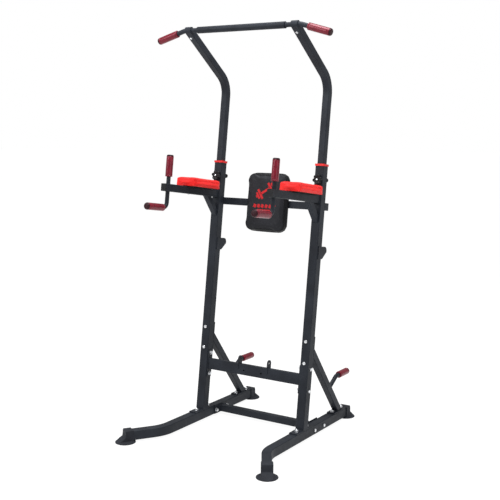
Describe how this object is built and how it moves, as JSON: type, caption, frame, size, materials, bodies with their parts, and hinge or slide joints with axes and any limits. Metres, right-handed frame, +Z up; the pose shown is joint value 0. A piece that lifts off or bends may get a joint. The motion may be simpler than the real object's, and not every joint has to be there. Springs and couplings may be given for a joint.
{
  "type": "power tower",
  "caption": "Free-standing power tower: leaning square-tube uprights carry padded dip arms, a backrest and a height-adjustable pull-up bar, on a flared base with push-up grips.",
  "frame": {"origin": "on the floor, at the middle of the footprint", "axes": "+Z up, -Y towards the user's side, +X to the right seen from the user's side"},
  "size_m": [1.0634, 1.157, 2.1841],
  "materials": {
    "frame_paint": "satin charcoal powder coat",
    "wine_grip": "glossy dark red moulded vinyl",
    "black_plastic": "moulded, fine grain",
    "foot_rubber": "matt moulded rubber",
    "red_plastic": "moulded nylon",
    "red_vinyl": "upholstery vinyl, fine grain",
    "black_vinyl": "upholstery vinyl, fine grain",
    "plywood": "raw plywood",
    "zinc": "bright zinc plate"
  },
  "bodies": {
    "frame": {"base_rail_left": "frame_paint", "base_rail_right": "frame_paint", "foot_front_left": "foot_rubber", "foot_front_right": "foot_rubber", "foot_rear_left": "foot_rubber", "foot_rear_right": "foot_rubber", "lower_crossbar": "frame_paint", "upright_left": "frame_paint", "upright_right": "frame_paint", "mid_crossbar": "frame_paint", "brace_left": "frame_paint", "brace_right": "frame_paint", "pushup_handle_left": "frame_paint", "pushup_handle_right": "frame_paint", "pushup_grip_left": "wine_grip", "pushup_grip_right": "wine_grip", "rear_hook_left": "frame_paint", "rear_hook_right": "frame_paint", "dip_arm_left": "frame_paint", "dip_arm_right": "frame_paint", "arm_gusset_left": "frame_paint", "arm_gusset_right": "frame_paint", "arm_end_caps": "black_plastic", "dip_handle_left": "frame_paint", "dip_handle_right": "frame_paint", "upper_grip_left": "wine_grip", "upper_grip_right": "wine_grip", "lower_grip_left": "wine_grip", "lower_grip_right": "wine_grip", "arm_pad_left": "red_vinyl", "arm_pad_right": "red_vinyl", "arm_pad_boards": "plywood", "backrest_crossbar": "frame_paint", "backrest_pad": "black_vinyl", "backrest_board": "plywood", "bushing_left": "red_plastic", "bushing_right": "red_plastic", "grip_end_caps": "black_plastic", "base_bolts": "zinc", "frame_bolts": "zinc", "pad_screws": "zinc"},
    "upper_frame": {"upper_tube_left": "frame_paint", "upper_tube_right": "frame_paint", "bar_heads": "frame_paint", "pullup_bar": "frame_paint", "bar_sleeve": "frame_paint", "bar_grip_left": "wine_grip", "bar_grip_right": "wine_grip", "bar_end_caps": "black_plastic", "guide_plugs": "black_plastic", "head_bolts": "zinc"},
    "knob_left": {"star_knob_left": "black_plastic", "clamp_screw_left": "zinc"},
    "pin_left": {"index_pin_left": "zinc", "pull_knob_left": "black_plastic"},
    "knob_right": {"star_knob_right": "black_plastic", "clamp_screw_right": "zinc"},
    "pin_right": {"index_pin_right": "zinc", "pull_knob_right": "black_plastic"}
  },
  "joints": [
    {"name": "height_slide", "type": "slide", "parent": "frame", "child": "upper_frame", "axis": [0, 0.1262, 0.992], "range_m": [-0.3, 0]},
    {"name": "knob_left_turn", "type": "hinge", "parent": "frame", "child": "knob_left", "pos_m": [-0.325, 0.14654, 1.38577], "axis": [0, -0.992, 0.1262], "range_deg": [0, 1170]},
    {"name": "knob_right_turn", "type": "hinge", "parent": "frame", "child": "knob_right", "pos_m": [0.325, 0.14654, 1.38577], "axis": [0, -0.992, 0.1262], "range_deg": [0, 1170]},
    {"name": "pin_left_pull", "type": "slide", "parent": "frame", "child": "pin_left", "axis": [0, 0.992, -0.1262], "range_m": [0, 0.01], "stiffness_N_per_m": 1500, "springref_m": -0.006},
    {"name": "pin_right_pull", "type": "slide", "parent": "frame", "child": "pin_right", "axis": [0, 0.992, -0.1262], "range_m": [0, 0.01], "stiffness_N_per_m": 1500, "springref_m": -0.006}
  ]
}
